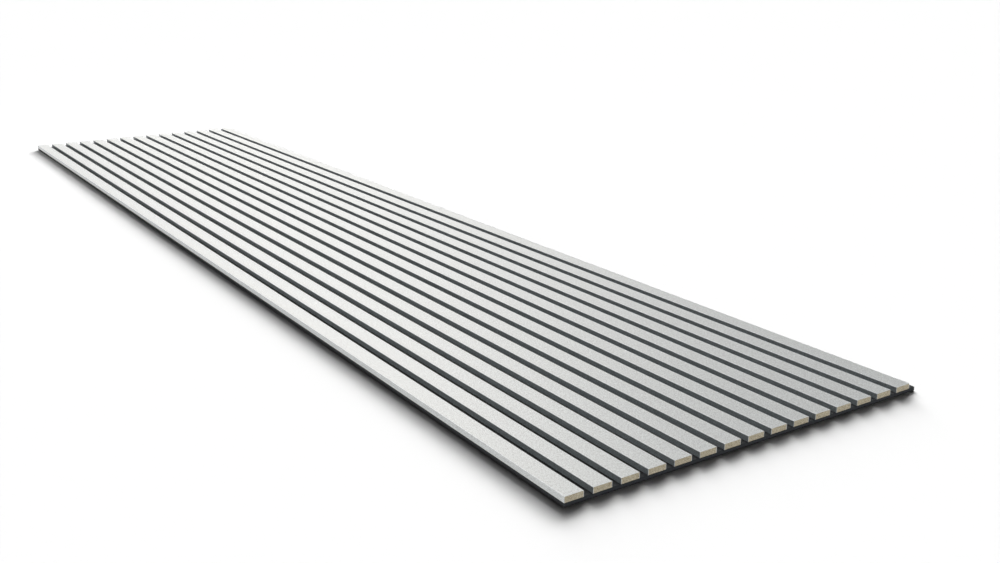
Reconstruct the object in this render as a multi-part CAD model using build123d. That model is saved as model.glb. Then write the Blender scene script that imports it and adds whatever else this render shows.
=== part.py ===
from build123d import *
import os

# Slatted acoustic wall panel, lying on its felt back.
# Origin at the middle of the felt's back face, slats along Y, face up.
# Every size is in millimetres.

# Driving sizes
panel_length = 2600.0
slat_count = 15
slat_width = 27.0
slat_gap = 13.0
slat_thickness = 8.0
felt_thickness = 6.0
foil_thickness = 0.4
arris_radius = 0.8

# Sizes that follow
pitch = slat_width + slat_gap
panel_width = slat_count * pitch
core_width = slat_width - 2 * foil_thickness
core_height = slat_thickness - foil_thickness
core_radius = arris_radius - foil_thickness


def slat_middle(index):
    """X of a slat's middle: slat 0 is flush with the felt's left edge,
    and the felt runs on one gap past the last slat for the next panel."""
    return -panel_width / 2 + slat_width / 2 + index * pitch


def eased_outline(width, height, radius):
    """Outline of a flat bar on the XZ plane, standing on Z = 0,
    with its two top arrises rounded."""
    half = width / 2
    bend = radius * (1 - 2 ** -0.5)
    with BuildLine(Plane.XZ) as line:
        Polyline((-half, height - radius), (-half, 0), (half, 0), (half, height - radius))
        ThreePointArc((half, height - radius), (half - bend, height - bend), (half - radius, height))
        Line((half - radius, height), (radius - half, height))
        ThreePointArc((radius - half, height), (bend - half, height - bend), (-half, height - radius))
    return make_face(line.wire())


def run_along(face):
    """Solid of a section that runs the panel's whole length."""
    return extrude(face, panel_length / 2, both=True)


# Felt backing: one flat sheet, cut square, that carries every slat
felt = Box(panel_width, panel_length, felt_thickness,
           align=(Align.CENTER, Align.CENTER, Align.MIN))

# Slat: a board core, and a foil wrapped over its top and both sides
core = run_along(eased_outline(core_width, core_height, core_radius))
bar = run_along(eased_outline(slat_width, slat_thickness, arris_radius))
wrap = bar - core

os.makedirs("parts", exist_ok=True)
export_step(felt, "parts/felt_backing.step")
for index in range(slat_count):
    place = Location((slat_middle(index), 0, felt_thickness))
    export_step(place * core, f"parts/slat_core_{index + 1:02d}.step")
    export_step(place * wrap, f"parts/slat_wrap_{index + 1:02d}.step")
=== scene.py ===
import math
import random
from functools import reduce

import bmesh
import bpy
from mathutils import Matrix, Vector, noise


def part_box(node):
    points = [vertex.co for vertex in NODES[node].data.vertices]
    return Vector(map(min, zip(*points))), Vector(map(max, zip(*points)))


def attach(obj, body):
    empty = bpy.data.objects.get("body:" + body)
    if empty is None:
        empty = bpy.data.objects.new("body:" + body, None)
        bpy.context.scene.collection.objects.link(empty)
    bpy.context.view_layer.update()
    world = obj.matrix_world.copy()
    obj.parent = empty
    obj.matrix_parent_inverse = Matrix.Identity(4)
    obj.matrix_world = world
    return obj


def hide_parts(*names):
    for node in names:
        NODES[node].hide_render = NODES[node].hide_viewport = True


bl_info = {
    "name": "Slatted Acoustic Panel",
    "version": (1, 0, 0),
    "blender": (4, 5, 0),
    "location": "3D View > Sidebar > Panel",
    "description": "Finishes a slatted acoustic panel and sets it in a white studio",
    "category": "Object",
}

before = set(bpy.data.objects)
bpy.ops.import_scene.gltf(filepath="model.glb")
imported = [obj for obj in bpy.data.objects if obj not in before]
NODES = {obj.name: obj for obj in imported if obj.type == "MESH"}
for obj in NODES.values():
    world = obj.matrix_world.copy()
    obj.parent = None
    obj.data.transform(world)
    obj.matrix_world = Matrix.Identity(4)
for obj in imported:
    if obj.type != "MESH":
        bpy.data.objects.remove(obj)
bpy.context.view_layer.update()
WRAPS = sorted(name for name in NODES if name.startswith("slat_wrap"))
CORES = sorted(name for name in NODES if name.startswith("slat_core"))
FELT = "felt_backing"
MM = 1000.0


# Materials

class Value:
    """A number in a material that is worked out per point of the surface."""

    def __init__(self, finish, socket):
        self.finish = finish
        self.socket = socket

    def _math(self, operation, *numbers):
        sockets = dict(enumerate(numbers))
        return self.finish.node("ShaderNodeMath", {"operation": operation}, sockets).out()

    def __add__(self, other):
        return self._math("ADD", self, other)

    def __radd__(self, other):
        return self._math("ADD", other, self)

    def __sub__(self, other):
        return self._math("SUBTRACT", self, other)

    def __rsub__(self, other):
        return self._math("SUBTRACT", other, self)

    def __mul__(self, other):
        return self._math("MULTIPLY", self, other)

    def __rmul__(self, other):
        return self._math("MULTIPLY", other, self)

    def __mod__(self, other):
        return self._math("FLOORED_MODULO", self, other)

    def __abs__(self):
        return self._math("ABSOLUTE", self)

    def most(self, other):
        return self._math("MAXIMUM", self, other)


class Step:
    """A node just made: its outputs by name or number."""

    def __init__(self, finish, node):
        self.finish = finish
        self.node = node

    def out(self, key=0):
        return Value(self.finish, self.node.outputs[key])


class Finish:
    """A material or world, built node by node."""

    def __init__(self, holder):
        holder.use_nodes = True
        self.holder = holder
        self.tree = holder.node_tree
        self.tree.nodes.clear()

    def node(self, kind, settings=None, sockets=None):
        """Adds a node: its settings first, then what its sockets hold or are linked to."""
        node = self.tree.nodes.new(kind)
        for key, setting in (settings or {}).items():
            setattr(node, key, setting)
        for key, held in (sockets or {}).items():
            socket = node.inputs[key]
            if isinstance(held, Value):
                self.tree.links.new(held.socket, socket)
            else:
                socket.default_value = held
        return Step(self, node)

    def millimetres(self, stretch=(1, 1, 1), turn=(0, 0, 0)):
        """Place on the object in millimetres, stretched by a factor along each axis."""
        place = self.node("ShaderNodeTexCoord").out("Object")
        scale = tuple(MM / share for share in stretch)
        return self.node("ShaderNodeMapping", {"vector_type": "POINT"},
                         {"Vector": place, "Scale": scale, "Rotation": turn}).out()

    def pattern(self, size, fade=None, stretch=(1, 1, 1), turn=(0, 0, 0),
                detail=2.0, roughness=0.5, distortion=0.0):
        """Soft noise from 0 to 1 with lumps of a size in millimetres, drawn out along each axis by
        the stretch. A fade makes it 0 below the first of two values and 1 above the second."""
        sockets = {"Vector": self.millimetres(stretch, turn), "Scale": 1 / size,
                   "Detail": detail, "Roughness": roughness, "Distortion": distortion}
        soft = self.node("ShaderNodeTexNoise", {"noise_dimensions": "3D"}, sockets).out()
        return self.between(soft, *fade) if fade else soft

    def between(self, value, low, high):
        """0 below low, 1 above high and smooth between."""
        return self.node("ShaderNodeMapRange", {"interpolation_type": "SMOOTHSTEP"},
                         {"Value": value, "From Min": low, "From Max": high}).out()

    def near(self, value, edge, depths):
        """0 further in from an edge than the first depth, 1 less far in than the second."""
        return self.between(value, edge - depths[0], edge - depths[1])

    def seen(self):
        """1 where the camera or a reflection sees the surface, 0 for the light it gives."""
        path = self.node("ShaderNodeLightPath")
        return path.out("Is Camera Ray").most(path.out("Is Glossy Ray"))

    def mix(self, factor, first, second, blend="MIX"):
        """A colour between two colours. Their sockets share names, so they go by number."""
        return self.node("ShaderNodeMix", {"data_type": "RGBA", "blend_type": blend},
                         {0: factor, 6: first, 7: second}).out(2)

    def axes(self, vector):
        """The three numbers of a vector."""
        parts = self.node("ShaderNodeSeparateXYZ", None, {0: vector})
        return parts.out(0), parts.out(1), parts.out(2)

    def shade(self, colour, share):
        """A colour made darker or lighter by a share that changes over the surface."""
        grey = self.node("ShaderNodeCombineColor", None, {0: share, 1: share, 2: share}).out()
        return self.mix(1.0, colour, grey, "MULTIPLY")

    def bump(self, height, distance, strength, under=None):
        """A surface normal tilted by a height from 0 to 1 that stands for that many metres."""
        sockets = {"Height": height, "Distance": distance, "Strength": strength}
        if under is not None:
            sockets["Normal"] = under
        return self.node("ShaderNodeBump", None, sockets).out()

    def surface(self, sockets):
        """Ends the material in a principled surface."""
        shader = self.node("ShaderNodeBsdfPrincipled", None, sockets).out()
        self.node("ShaderNodeOutputMaterial", None, {"Surface": shader})
        return self.holder


def rgba(colour):
    """A colour as a socket takes it, opaque."""
    return (*colour, 1.0)


def frame_mm(name):
    """A CAD node's lowest and highest corner in millimetres."""
    return [[MM * value for value in corner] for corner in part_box(name)]


def put_on(material, names):
    """Gives the named CAD nodes this material."""
    for name in names:
        mesh = NODES[name].data
        mesh.materials.clear()
        mesh.materials.append(material)


# How much the roughness of foil and board swings with their pattern
ROUGHNESS_SWING = 0.1

# The foil's patterns, and how much of each it shows. Depths are in millimetres, first where a
# change starts and then where it is full
FOIL_PORES = {"size": 0.7, "stretch": (1, 3, 1), "fade": (0.42, 0.62), "detail": 1.0}
FOIL_GRAIN = {"size": 1.3, "stretch": (1, 3.5, 1), "fade": (0.32, 0.68)}
FOIL_STREAKS = {"size": 1.3, "stretch": (1, 45, 1), "fade": (0.3, 0.7)}
FOIL_CLOUDS = {"size": 60.0, "detail": 1.0}
PORE_SHARE = 0.6  # share of the pores, the rest is grain
PORE_MEAN = 0.52  # mean of both, where they leave the colour as it is
SIDE_FADING = 0.4  # how much fainter both are on a slat's sides
TOP_STREAKS = 0.25  # share of the streaks that a slat's top shows
SIDE_STREAKS = 0.5  # how much more of them its sides show
SIDEWAYS = (0.6, 0.95)  # how far the surface is turned where the top becomes the side
OUTER_SIDES = (2.0, 1.0)  # depths in from the outermost sides, which hold no lint and no painted groove shading
SHADING_AND_LINT_DEPTH = 2.0  # depth below a slat's top from which the painted groove shading and lint are thin
SHADING_AND_LINT_THINNING = 0.5
RIM_HIGHLIGHT_SIDE = 0.3  # depth in from a slat's side at which the painted highlight line is full
RIM_HIGHLIGHT_TOP = (0.7, 0.2)  # depths below a slat's top at which it starts and is full


def foil_material(look):
    """Pale satin foil: fine pores, faint lengthwise grain, a painted highlight along the arrises,
    painted groove shading and lint deep in the grooves."""
    foil = Finish(bpy.data.materials.new("pale_foil"))
    pore = PORE_SHARE * (1.0 - foil.pattern(**FOIL_PORES)) \
        + (1.0 - PORE_SHARE) * foil.pattern(**FOIL_GRAIN)
    cloud = foil.pattern(**FOIL_CLOUDS)
    streak = foil.pattern(**FOIL_STREAKS)
    x, _, z = foil.axes(foil.millimetres())
    (left, _, bottom), (right, _, top) = frame_mm(WRAPS[0])
    pitch = frame_mm(WRAPS[1])[0][0] - left
    half = (right - left) / 2
    outer = frame_mm(WRAPS[-1])[1][0]

    # The slats' sides, and on those inside the grooves painted groove shading with lint, thinner
    # towards the top
    turn, _, _ = foil.axes(foil.node("ShaderNodeNewGeometry").out("Normal"))
    side = foil.between(abs(turn), *SIDEWAYS)
    inner = 1.0 - foil.near(abs(x), outer, OUTER_SIDES)
    groove_shading_and_lint = side * inner * (1.0 - SHADING_AND_LINT_THINNING * foil.between(z, bottom, top - SHADING_AND_LINT_DEPTH))

    # The painted highlight line along each arris, found by how far it is from its slat's middle
    off_middle = abs((x - left + (pitch / 2 - half)) % pitch - pitch / 2)
    rim = foil.near(off_middle, half, (look.rim_highlight_width * MM, RIM_HIGHLIGHT_SIDE)) * foil.near(z, top, RIM_HIGHLIGHT_TOP)

    share = 1.0 + look.pore_tint * (1.0 - SIDE_FADING * side) * (pore - PORE_MEAN) \
        + look.streak_tint * (TOP_STREAKS + SIDE_STREAKS * side) * (streak - 0.5) \
        + look.cloud_tint * (cloud - 0.5)
    # Painted groove shading with lint: a cool tint on the inner groove walls, full at the felt and
    # half at the top
    tone = foil.mix(groove_shading_and_lint, rgba(look.foil_colour), rgba(look.groove_shading_colour))
    # Painted highlight: a paler line along each arris
    tone = foil.mix(look.rim_highlight_share * rim, tone, rgba(look.rim_highlight_colour))
    normal = foil.bump(pore, look.pore_depth, strength=0.6)
    normal = foil.bump(streak, look.pore_depth, strength=0.25, under=normal)
    return foil.surface({"Base Color": foil.shade(tone, share),
                         "Roughness": look.foil_roughness + ROUGHNESS_SWING * (pore - 0.5),
                         "Normal": normal})


# The board's patterns, and how much of each it shows
BOARD_BODY = {"size": 1.1, "stretch": (2, 2, 1), "fade": (0.32, 0.68), "detail": 3.0,
              "roughness": 0.6}
BOARD_FLECKS = {"size": 1.0, "stretch": (1.8, 1.8, 1), "detail": 1.0, "distortion": 0.4}
BOARD_BARK = {"size": 1.3, "stretch": (1.7, 1.7, 1), "fade": (0.58, 0.70), "detail": 1.0,
              "distortion": 0.8}
BOARD_DUST = {"size": 0.35}
FLECK_FADE = (0.54, 0.68)
FLECK_RELIEF = 0.5  # how much the flecks stand out beside the body
DUST_DARK = 0.85  # share of the colour where the sawn face is darkest
DUST_SWING = 0.3  # how much more of it where the face is palest


def board_material(look):
    """Sawn fibreboard: pressed fibres in faint layers, with dark and pale flecks."""
    board = Finish(bpy.data.materials.new("sawn_fibreboard"))
    body = board.pattern(**BOARD_BODY)
    fleck = board.pattern(**BOARD_FLECKS)
    bark = board.pattern(**BOARD_BARK)
    dust = board.pattern(**BOARD_DUST)
    pale = board.between(fleck, *FLECK_FADE)
    tone = board.mix(body, rgba(look.board_dark), rgba(look.board_colour))
    tone = board.mix(look.fleck_share * pale, tone, rgba(look.board_pale))
    tone = board.mix(look.fleck_share * bark, tone, rgba(look.board_bark))
    relief = body + FLECK_RELIEF * fleck
    return board.surface({"Base Color": board.shade(tone, DUST_DARK + DUST_SWING * dust),
                          "Roughness": look.board_roughness + ROUGHNESS_SWING * (body - 0.5),
                          "Normal": board.bump(relief, look.board_depth, strength=0.6)})


# The felt's patterns, and how much of each it shows. Depths and heights are in millimetres,
# first where a change starts and then where it is full
FELT_STRANDS = tuple({"size": size, "turn": (turn, 0.3, 0.2), "detail": 1.0, "distortion": 1.5}
                     for turn, size in ((0.3, 1.3), (1.4, 0.9), (2.3, 0.6)))
FELT_LUMPS = {"size": 4.0, "detail": 3.0, "roughness": 0.6}
FELT_FLUFF = {"size": 0.3}
STRAND_WIDTH = 0.05  # how far from the middle of its noise a strand reaches
LUMP_FADE = (0.3, 0.7)
BORDER_WANDER = 8  # how unevenly the lighter zone of the painted groove shade ends
CUT_EDGE = (1.5, 0.8)  # depths in from the outline
CUT_RISE = (1.2, 2.8)  # heights between which the painted light band on the cut edge rises
CUT_FALL = (4.6, 5.6)  # heights between which the painted light band falls off again
CUT_DARKENING = 0.35
STRAND_RELIEF = 0.5  # how much the strands stand out beside the fluff


def felt_material(look):
    """Dark needled felt: a mat of fine fibres, with painted groove shade on its face that is
    lighter near the cut ends, and on its cut edge painted shade at the floor and a painted light
    band half way up.
    """
    felt = Finish(bpy.data.materials.new("needled_felt"))
    fibres = reduce(Value.most, (
        1.0 - felt.between(abs(felt.pattern(**strands) - 0.5), 0.0, STRAND_WIDTH)
        for strands in FELT_STRANDS))
    lump = felt.pattern(**FELT_LUMPS)
    fluff = felt.pattern(**FELT_FLUFF)
    x, y, z = felt.axes(felt.millimetres())
    half_width, half_length, _ = frame_mm(FELT)[1]

    # Painted groove shade on the face, lighter near the cut ends in a zone with an uneven border;
    # on the cut edge painted shade at the floor and a painted light band half way up
    wander = BORDER_WANDER * (lump - 0.5)
    lighter_ends = felt.near(abs(y) + wander, half_length, (look.lighter_end_zone * MM, 0))
    painted_groove_shade = look.groove_shade_share + look.end_lightening_share * lighter_ends
    edge = felt.near(abs(x), half_width, CUT_EDGE).most(felt.near(abs(y), half_length, CUT_EDGE))
    # Painted shade at the floor and a painted light band half way up the cut edge
    edge_light_band = felt.between(z, *CUT_RISE) * (1.0 - CUT_DARKENING * felt.between(z, *CUT_FALL))
    cut = look.edge_floor_shade + look.edge_light_share * edge_light_band

    tone = felt.mix(felt.between(lump, *LUMP_FADE), rgba(look.felt_dark), rgba(look.felt_colour))
    tone = felt.mix(look.fibre_share * fibres, tone, rgba(look.felt_fibre))
    # The painted shade and light of the felt's face and cut edge
    tone = felt.shade(tone, painted_groove_shade + edge * (cut - painted_groove_shade))
    normal = felt.bump(STRAND_RELIEF * fibres + fluff, look.felt_depth, strength=0.8)
    return felt.surface({"Base Color": tone, "Roughness": look.felt_roughness, "Normal": normal,
                         "Specular IOR Level": 0.2, "Sheen Weight": 0.1, "Sheen Roughness": 0.6})


# Settings

class SlatLook(bpy.types.PropertyGroup):
    foil_colour: bpy.props.FloatVectorProperty(
        name="Foil colour", description="Colour of the foil around the slats",
        subtype="COLOR", default=(0.683, 0.724, 0.735), min=0, max=1)
    # Painted groove shading with lint: the tint of the foil for how light falls deep in the grooves
    groove_shading_colour: bpy.props.FloatVectorProperty(
        name="Groove colour", description="Colour of the foil deep in the grooves, with lint on it",
        subtype="COLOR", default=(0.72, 0.78, 0.815), min=0, max=1)
    # Painted highlight along the arrises: its colour, strength and width
    rim_highlight_colour: bpy.props.FloatVectorProperty(
        name="Arris colour", description="Colour of the foil where its arrises are rubbed",
        subtype="COLOR", default=(0.90, 0.94, 0.99), min=0, max=1)
    rim_highlight_share: bpy.props.FloatProperty(
        name="Arris highlight", description="How much the arrises are paler",
        default=0.7, min=0, max=1)
    rim_highlight_width: bpy.props.FloatProperty(
        name="Arris width", description="Width of the paler line along an arris",
        default=0.0018, unit="LENGTH")
    foil_roughness: bpy.props.FloatProperty(
        name="Foil roughness", description="How matt the foil is", default=0.42, min=0, max=1)
    pore_tint: bpy.props.FloatProperty(
        name="Pore tint", description="How much the pores vary the colour", default=0.55)
    streak_tint: bpy.props.FloatProperty(
        name="Streak tint", description="How much the grain varies the colour", default=0.16)
    cloud_tint: bpy.props.FloatProperty(
        name="Cloud tint", description="How much the colour drifts over a slat", default=0.01)
    pore_depth: bpy.props.FloatProperty(
        name="Pore depth", description="Depth of the foil's pores",
        default=0.00003, unit="LENGTH")
    board_colour: bpy.props.FloatVectorProperty(
        name="Board colour", description="Colour of the sawn board ends",
        subtype="COLOR", default=(0.53, 0.47, 0.345), min=0, max=1)
    board_dark: bpy.props.FloatVectorProperty(
        name="Board shade", description="Colour between the board's fibres",
        subtype="COLOR", default=(0.32, 0.28, 0.20), min=0, max=1)
    board_pale: bpy.props.FloatVectorProperty(
        name="Pale flecks", description="Colour of the pale flecks in the board",
        subtype="COLOR", default=(0.66, 0.62, 0.50), min=0, max=1)
    board_bark: bpy.props.FloatVectorProperty(
        name="Dark flecks", description="Colour of the bark flecks in the board",
        subtype="COLOR", default=(0.20, 0.145, 0.09), min=0, max=1)
    fleck_share: bpy.props.FloatProperty(
        name="Fleck strength", description="How much the flecks stand out",
        default=0.8, min=0, max=1)
    board_roughness: bpy.props.FloatProperty(
        name="Board roughness", description="How matt the board is", default=0.85, min=0, max=1)
    board_depth: bpy.props.FloatProperty(
        name="Saw relief", description="Depth of the sawn fibres",
        default=0.00012, unit="LENGTH")


class FeltLook(bpy.types.PropertyGroup):
    felt_colour: bpy.props.FloatVectorProperty(
        name="Felt colour", description="Colour of the felt where it is cut",
        subtype="COLOR", default=(0.0158, 0.019, 0.0222), min=0, max=1)
    felt_dark: bpy.props.FloatVectorProperty(
        name="Felt shade", description="Colour deep between the fibres",
        subtype="COLOR", default=(0.0078, 0.0097, 0.0116), min=0, max=1)
    felt_fibre: bpy.props.FloatVectorProperty(
        name="Upper fibres", description="Colour of the fibres that lie on top",
        subtype="COLOR", default=(0.0605, 0.067, 0.0745), min=0, max=1)
    fibre_share: bpy.props.FloatProperty(
        name="Fibre strength", description="How much the upper fibres stand out",
        default=0.7, min=0, max=1)
    felt_roughness: bpy.props.FloatProperty(
        name="Felt roughness", description="How matt the felt is", default=0.95, min=0, max=1)
    # Painted shade at the floor and a painted light band half way up the felt's cut edge
    edge_floor_shade: bpy.props.FloatProperty(
        name="Edge shade", description="How dark the cut edge is at the floor", default=0.16)
    edge_light_share: bpy.props.FloatProperty(
        name="Edge light", description="How much paler the cut edge is half way up",
        default=0.83)
    # Painted groove shade on the felt's face, lighter in a zone near the cut ends
    groove_shade_share: bpy.props.FloatProperty(
        name="Groove shade", description="How dark the pressed face is beside the cut edges",
        default=0.20)
    end_lightening_share: bpy.props.FloatProperty(
        name="Lighter ends", description="How much paler the pressed face is at its cut ends",
        default=0.79)
    lighter_end_zone: bpy.props.FloatProperty(
        name="Lighter end zone", description="How far in from the cut ends the fibres stand open",
        default=0.012, unit="LENGTH")
    felt_depth: bpy.props.FloatProperty(
        name="Fibre relief", description="Depth of the felt's fibres",
        default=0.00012, unit="LENGTH")
    upper_round: bpy.props.FloatProperty(
        name="Upper edge", description="Rounding of the felt's upper cut edge",
        default=0.0005, unit="LENGTH")
    lower_round: bpy.props.FloatProperty(
        name="Lower edge", description="Rounding of the felt's lower cut edge",
        default=0.0014, unit="LENGTH")
    corner_round: bpy.props.FloatProperty(
        name="Felt corner", description="Rounding of the felt's corners, more than its edges'",
        default=0.0018, unit="LENGTH")
    cut_unevenness: bpy.props.FloatProperty(
        name="Cut unevenness", description="How far the cut edge wanders inwards",
        default=0.0003, unit="LENGTH")
    station: bpy.props.FloatProperty(
        name="Edge step", description="Step of the mesh along the cut edge",
        default=0.003, unit="LENGTH")
    fibre_count: bpy.props.IntProperty(
        name="Loose fibres", description="How many loose fibres stand out of the cut edges",
        default=2400)
    fibre_radius: bpy.props.FloatProperty(
        name="Fibre radius", description="Radius of a loose fibre",
        default=0.00003, unit="LENGTH")
    fibre_reach: bpy.props.FloatProperty(
        name="Fibre reach", description="Length of the longest loose fibres",
        default=0.0022, unit="LENGTH")


class StudioLook(bpy.types.PropertyGroup):
    floor_size: bpy.props.FloatProperty(
        name="Floor size", description="Side of the white floor", default=400.0, unit="LENGTH")
    floor_white: bpy.props.FloatProperty(
        name="Floor white", description="How white the camera sees the floor", default=0.512)
    floor_plain: bpy.props.FloatProperty(
        name="Floor bounce", description="How much light the floor throws back on the panel",
        default=0.115)
    sky: bpy.props.FloatProperty(
        name="Sky fill", description="Light that comes from all round", default=0.03)
    fill_place: bpy.props.FloatVectorProperty(
        name="Fill place", description="Where the small lamp for the floor at the far left stands",
        subtype="TRANSLATION", default=(-0.9, 1.3, 0.5), unit="LENGTH")
    fill_aim: bpy.props.FloatVectorProperty(
        name="Fill aim", description="Point of the floor that the small lamp is turned to",
        subtype="TRANSLATION", default=(-0.35, 1.2, 0.0), unit="LENGTH")
    fill_size: bpy.props.FloatProperty(
        name="Fill size", description="Width of the small lamp's disc",
        default=0.4, unit="LENGTH")
    fill_power: bpy.props.FloatProperty(
        name="Fill power", description="Power of the small lamp", default=2.2, unit="POWER")
    camera_place: bpy.props.FloatVectorProperty(
        name="Camera place", description="Where the camera stands",
        subtype="TRANSLATION", default=(-0.9576, -2.1672, 0.5917), unit="LENGTH")
    camera_azimuth: bpy.props.FloatProperty(
        name="Camera azimuth", description="Turn of the view from the slats' direction",
        default=math.radians(33.496), subtype="ANGLE")
    camera_tilt: bpy.props.FloatProperty(
        name="Camera tilt", description="How far the camera looks down",
        default=math.radians(17.049), subtype="ANGLE")
    camera_lens: bpy.props.FloatProperty(
        name="Lens", description="Focal length", default=40.0, subtype="DISTANCE_CAMERA")


# Colours of the lamps. The key lamps are a little warm, because the foil is cool itself and
# looks plain white where it mirrors them, and the lamp for its sides is warm and a bit duller
WHITE = (1.0, 1.0, 1.0)
WARM = (1.0, 0.971, 0.932)
WARM_LOW = (0.974, 0.938, 0.905)

# Each lamp: name, azimuth from +Y towards +X, elevation, width of its disc in degrees,
# light on a face turned towards it, colour, and what it shines on
LAMPS = (
    ("key_low", 10, 26, 20, 0.063, WARM, "panel"),
    ("key_middle", 20, 34, 20, 0.2575, WARM, "panel"),
    ("key_right", 30, 34, 20, 0.140, WARM, "panel"),
    ("key_high", 30, 42, 20, 0.246, WARM, "panel"),
    ("end_light", 180, 4, 5, 0.660, WHITE, "panel"),
    ("edge_light", -90, 1.6, 3, 0.680, WARM_LOW, "panel"),
    ("floor_low", 30, 12, 16, 1.679, WHITE, "floor"),
    ("floor_left", 30, 27, 16, 0.937, WHITE, "floor"),
    ("floor_back_high", 15, 38, 16, 0.172, WHITE, "floor"),
    ("floor_middle", 45, 18, 16, 1.642, WHITE, "floor"),
    ("floor_middle_high", 45, 38, 16, 0.273, WHITE, "floor"),
    ("floor_right", 60, 18, 16, 1.032, WHITE, "floor"),
    ("floor_side", 90, 18, 16, 0.160, WHITE, "floor"),
)
# The low lamps only light the ends and the side: no reflection of them shows on the foil,
# and no light of theirs bounces on to the floor
LOW_LAMPS = ("end_light", "edge_light")

# The camera's sensor in millimetres, and the nearest and farthest that it sees in metres
SENSOR_WIDTH = 36.0
CLIP = (0.01, 200.0)

# The felt's mesh
HAIR = 1e-6  # places closer than this are one
UPRIGHT_EDGE = 0.001  # an edge of the plain slab that rises more is one of its corners
LONG_EDGE = 0.1  # an edge that is longer runs along a side and is divided
CUT_FACE_EDGE = 0.003  # an edge that rises more is on the cut face and is divided
CUT_FACE_STEP = 0.0012
CORNER_SEGMENTS = 3
LOWER_SEGMENTS = 3
UPPER_SEGMENTS = 2

# How the cut wanders: share and size in millimetres of each wave, and the mean
CUT_WAVES = ((0.6, 9), (0.3, 2.5))
CUT_MEAN = 0.35

# Loose fibres
FIBRE_SEED = 7
FIBRE_LOWEST = 0.0012  # how far above the floor they start
FIBRE_TOP_MARGIN = 0.0006  # how far below the felt's top
FIBRE_ROOT = 0.0006  # how deep in the felt
FIBRE_SHORTEST = 0.35  # share of the longest reach
FIBRE_OUTWARD = 0.7  # shares of the reach by which they stand out, sway and curl
FIBRE_SWAY = 0.5
FIBRE_CURL = 0.5
FIBRE_ENDS = (1.3, 0.5)  # thickness at root and tip, as shares of the radius
FIBRE_STEPS = (0, 1 / 3, 2 / 3, 1)  # places of its points along a fibre


# Operators

class PANEL_OT_finish_slats(bpy.types.Operator):
    """Give the slats' foil wraps and board cores their finishes"""

    bl_idname = "acoustic_panel.finish_slats"
    bl_label = "Finish the slats"

    def execute(self, context):
        look = context.scene.slat_look
        put_on(foil_material(look), WRAPS)
        put_on(board_material(look), CORES)
        return {"FINISHED"}


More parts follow.
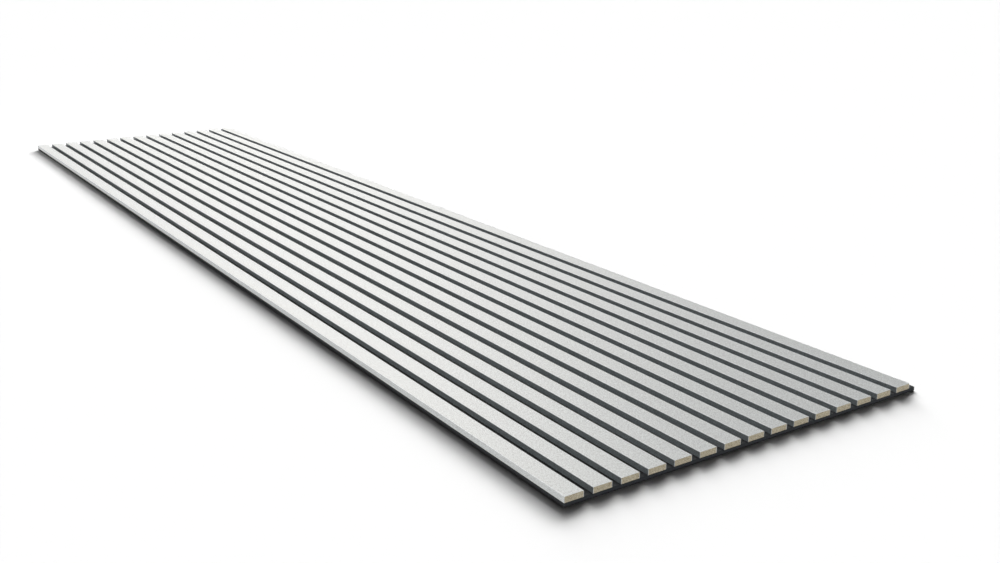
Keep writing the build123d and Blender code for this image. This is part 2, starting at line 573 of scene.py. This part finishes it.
class PANEL_OT_make_felt(bpy.types.Operator):
    """Make the felt backing: softly rounded, uneven cut edges with a few loose fibres"""

    bl_idname = "acoustic_panel.make_felt"
    bl_label = "Make the felt"

    def execute(self, context):
        look = context.scene.felt_look
        low, high = (Vector(corner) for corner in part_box(FELT))
        mat = bmesh.new()
        self.cut_mat(mat, look, low, high)
        self.roughen(mat, look, low, high)
        fibres = self.loose_fibres(look, low, high)
        mat.from_mesh(fibres)
        bmesh.ops.remove_doubles(mat, verts=mat.verts[:], dist=HAIR)
        bpy.data.meshes.remove(fibres)
        mesh = bpy.data.meshes.new("felt_mat")
        mat.to_mesh(mesh)
        mat.free()
        mesh.materials.append(felt_material(look))
        felt = bpy.data.objects.new("felt_mat", mesh)
        context.scene.collection.objects.link(felt)
        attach(felt, "root")
        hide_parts(FELT)
        return {"FINISHED"}

    def cut_mat(self, mat, look, low, high):
        """A slab with rounded corners and edges, divided finely along its cut edges."""
        place = Matrix.Translation((low + high) / 2) @ Matrix.Diagonal((*(high - low), 1))
        bmesh.ops.create_cube(mat, size=1.0, matrix=place)
        upright = [edge for edge in mat.edges
                   if abs(edge.verts[0].co.z - edge.verts[1].co.z) > UPRIGHT_EDGE]
        bmesh.ops.bevel(mat, geom=upright, offset=look.corner_round, segments=CORNER_SEGMENTS,
                        profile=0.5, affect="EDGES", material=-1)
        for level, offset, segments in ((low.z, look.lower_round, LOWER_SEGMENTS),
                                        (high.z, look.upper_round, UPPER_SEGMENTS)):
            edges = [edge for edge in mat.edges
                     if all(abs(vert.co.z - level) < HAIR for vert in edge.verts)]
            bmesh.ops.bevel(mat, geom=edges, offset=offset, segments=segments, profile=0.5,
                            affect="EDGES", material=-1)

        # The broad faces are taken out while the rim is divided, and stay undivided
        broad = [face for face in mat.faces if len(face.edges) > 4]
        bmesh.ops.delete(mat, geom=broad, context="FACES_ONLY")
        for axis, least, step in ((1, LONG_EDGE, look.station), (0, LONG_EDGE, look.station),
                                  (2, CUT_FACE_EDGE, CUT_FACE_STEP)):
            edges = [edge for edge in mat.edges
                     if abs(edge.verts[0].co[axis] - edge.verts[1].co[axis]) > least]
            cuts = round(edges[0].calc_length() / step) - 1
            bmesh.ops.subdivide_edges(mat, edges=edges, cuts=cuts, use_grid_fill=True)
        for face in mat.faces:
            face.smooth = True
        rim = [edge for edge in mat.edges if edge.is_boundary]
        bmesh.ops.holes_fill(mat, edges=rim, sides=0)
        bmesh.ops.recalc_face_normals(mat, faces=mat.faces[:])

    def roughen(self, mat, look, low, high):
        """Moves the cut edge inwards by an uneven amount."""
        middle = (low + high) / 2
        half = (high - low) / 2
        for vert in mat.verts:
            across, along = vert.co.x - middle.x, vert.co.y - middle.y
            depth_across, depth_along = half.x - abs(across), half.y - abs(along)
            reach = max(0.0, 1 - min(depth_across, depth_along) / look.station)
            if reach == 0:
                continue
            place = vert.co * MM
            wander = CUT_MEAN + sum(share * noise.noise(place / size)
                                    for share, size in CUT_WAVES)
            outward = Vector((across if depth_across < look.station else 0,
                              along if depth_along < look.station else 0, 0)).normalized()
            vert.co -= outward * look.cut_unevenness * reach * max(0.0, wander)

    def loose_fibres(self, look, low, high):
        """Short bent fibres that stand out of the cut edges, as one mesh."""
        seeded = random.Random(FIBRE_SEED)
        strands = bpy.data.curves.new("loose_fibres", "CURVE")
        strands.dimensions = "3D"
        strands.bevel_depth = look.fibre_radius
        strands.bevel_resolution = 0
        strands.use_fill_caps = True
        size = high - low
        thick, thin = FIBRE_ENDS
        # Each cut side: where it starts, which way it runs, and its length
        sides = ((low.x, low.y, 1, 0, size.x), (high.x, low.y, 0, 1, size.y),
                 (high.x, high.y, -1, 0, size.x), (low.x, high.y, 0, -1, size.y))
        for _ in range(look.fibre_count):
            along = seeded.uniform(0, 2 * (size.x + size.y))
            for x, y, onward_x, onward_y, length in sides:
                if along < length:
                    break
                along -= length
            height = seeded.uniform(FIBRE_LOWEST, size.z - FIBRE_TOP_MARGIN)
            start = Vector((x + onward_x * along, y + onward_y * along, height))
            outward = Vector((onward_y, -onward_x, 0))
            # A fibre sways less up and down than sideways, and curls down rather than up
            sway = Vector((seeded.uniform(-1, 1), seeded.uniform(-1, 1),
                           seeded.uniform(-0.5, 0.5)))
            curl = Vector((seeded.uniform(-1, 1), seeded.uniform(-1, 1),
                           seeded.uniform(-0.7, 0.4)))
            reach = look.fibre_reach * seeded.uniform(FIBRE_SHORTEST, 1.0)
            strand = strands.splines.new("POLY")
            strand.points.add(len(FIBRE_STEPS) - 1)
            for point, step in zip(strand.points, FIBRE_STEPS):
                bend = step * (FIBRE_OUTWARD * outward + FIBRE_SWAY * sway) \
                    + FIBRE_CURL * step * step * curl
                spot = start - outward * FIBRE_ROOT + reach * bend
                spot.z = max(spot.z, 2 * look.fibre_radius)
                point.co = (*spot, 1)
                point.radius = thick - (thick - thin) * step
        holder = bpy.data.objects.new("loose_fibres", strands)
        mesh = bpy.data.meshes.new_from_object(holder)
        bpy.data.objects.remove(holder)
        bpy.data.curves.remove(strands)
        return mesh


class PANEL_OT_make_studio(bpy.types.Operator):
    """Make the white floor, the lamps, the sky and the camera"""

    bl_idname = "acoustic_panel.make_studio"
    bl_label = "Make the studio"

    def execute(self, context):
        studio = context.scene.studio_look
        floor = self.make_floor(context, studio)
        lit = self.make_lit_groups(floor)
        self.make_lamps(context, lit)
        self.make_fill(context, studio, lit["floor"])
        self.make_sky(context, studio)
        self.make_camera(context, studio)
        context.scene.view_settings.view_transform = "Standard"
        return {"FINISHED"}

    def make_floor(self, context, studio):
        """A floor that looks whiter than the light it gives."""
        mesh = bpy.data.meshes.new("floor")
        shape = bmesh.new()
        bmesh.ops.create_grid(shape, x_segments=1, y_segments=1, size=studio.floor_size / 2)
        shape.to_mesh(mesh)
        shape.free()
        floor = bpy.data.objects.new("floor", mesh)
        context.scene.collection.objects.link(floor)
        paper = Finish(bpy.data.materials.new("white_floor"))
        plain, white = (paper.node("ShaderNodeBsdfDiffuse", None, {"Color": rgba([grey] * 3)}).out()
                        for grey in (studio.floor_plain, studio.floor_white))
        both = paper.node("ShaderNodeMixShader", None,
                          {0: paper.seen(), 1: plain, 2: white}).out()
        paper.node("ShaderNodeOutputMaterial", None, {"Surface": both})
        mesh.materials.append(paper.holder)
        return floor

    def make_lit_groups(self, floor):
        """The floor has lamps of its own, so that its shadow stays soft and short."""
        lit = {}
        for target, state in (("floor", "INCLUDE"), ("panel", "EXCLUDE")):
            group = bpy.data.collections.new(f"lit_{target}")
            group.objects.link(floor)
            group.collection_objects[0].light_linking.link_state = state
            lit[target] = group
        return lit

    def make_lamps(self, context, lit):
        """Suns with wide discs."""
        for name, azimuth, elevation, width, light, colour, target in LAMPS:
            lamp = bpy.data.lights.new(name, "SUN")
            lamp.energy = light * math.pi
            lamp.angle = math.radians(width)
            lamp.color = colour
            if name in LOW_LAMPS:
                lamp.cycles.max_bounces = 0
            stand = bpy.data.objects.new(name, lamp)
            stand.rotation_euler = (math.radians(90 - elevation), 0, math.radians(180 - azimuth))
            stand.light_linking.receiver_collection = lit[target]
            stand.visible_glossy = name not in LOW_LAMPS
            context.scene.collection.objects.link(stand)

    def make_fill(self, context, studio, lit_floor):
        """The small lamp that lightens the floor at the far left."""
        lamp = bpy.data.lights.new("floor_far_fill", "AREA")
        lamp.shape = "DISK"
        lamp.size = studio.fill_size
        lamp.energy = studio.fill_power
        stand = bpy.data.objects.new("floor_far_fill", lamp)
        stand.location = studio.fill_place
        aim = Vector(studio.fill_aim) - stand.location
        stand.rotation_euler = aim.to_track_quat("-Z", "Y").to_euler()
        stand.light_linking.receiver_collection = lit_floor
        stand.visible_camera = stand.visible_glossy = False
        context.scene.collection.objects.link(stand)

    def make_sky(self, context, studio):
        """White all round, with only a little light of its own."""
        world = bpy.data.worlds.new("white_room")
        world.cycles.sampling_method = "NONE"
        air = Finish(world)
        strength = studio.sky + (1.0 - studio.sky) * air.seen()
        glow = air.node("ShaderNodeBackground", None,
                        {"Color": rgba(WHITE), "Strength": strength}).out()
        air.node("ShaderNodeOutputWorld", None, {"Surface": glow})
        context.scene.world = world

    def make_camera(self, context, studio):
        """The camera, as it stood for the photo."""
        lens = bpy.data.cameras.new("camera")
        lens.sensor_fit = "HORIZONTAL"
        lens.sensor_width = SENSOR_WIDTH
        lens.lens = studio.camera_lens
        lens.clip_start, lens.clip_end = CLIP
        camera = bpy.data.objects.new("camera", lens)
        camera.location = studio.camera_place
        camera.rotation_euler = (math.pi / 2 - studio.camera_tilt, 0, -studio.camera_azimuth)
        context.scene.collection.objects.link(camera)
        context.scene.camera = camera


class PANEL_PT_acoustic(bpy.types.Panel):
    """Lists the steps in the 3D view's sidebar"""

    bl_idname = "PANEL_PT_acoustic"
    bl_label = "Acoustic panel"
    bl_space_type = "VIEW_3D"
    bl_region_type = "UI"
    bl_category = "Panel"

    def draw(self, context):
        for operator in OPERATORS:
            self.layout.operator(operator.bl_idname)


OPERATORS = (PANEL_OT_finish_slats, PANEL_OT_make_felt, PANEL_OT_make_studio)
SETTINGS = {"slat_look": SlatLook, "felt_look": FeltLook, "studio_look": StudioLook}


def register():
    for group in SETTINGS.values():
        bpy.utils.register_class(group)
    for name, group in SETTINGS.items():
        setattr(bpy.types.Scene, name, bpy.props.PointerProperty(type=group))
    for operator in OPERATORS:
        bpy.utils.register_class(operator)
    bpy.utils.register_class(PANEL_PT_acoustic)


def unregister():
    bpy.utils.unregister_class(PANEL_PT_acoustic)
    for operator in reversed(OPERATORS):
        bpy.utils.unregister_class(operator)
    for name, group in SETTINGS.items():
        delattr(bpy.types.Scene, name)
        bpy.utils.unregister_class(group)


def main():
    register()
    bpy.ops.acoustic_panel.finish_slats()
    bpy.ops.acoustic_panel.make_felt()
    bpy.ops.acoustic_panel.make_studio()


if __name__ == "__main__":
    main()
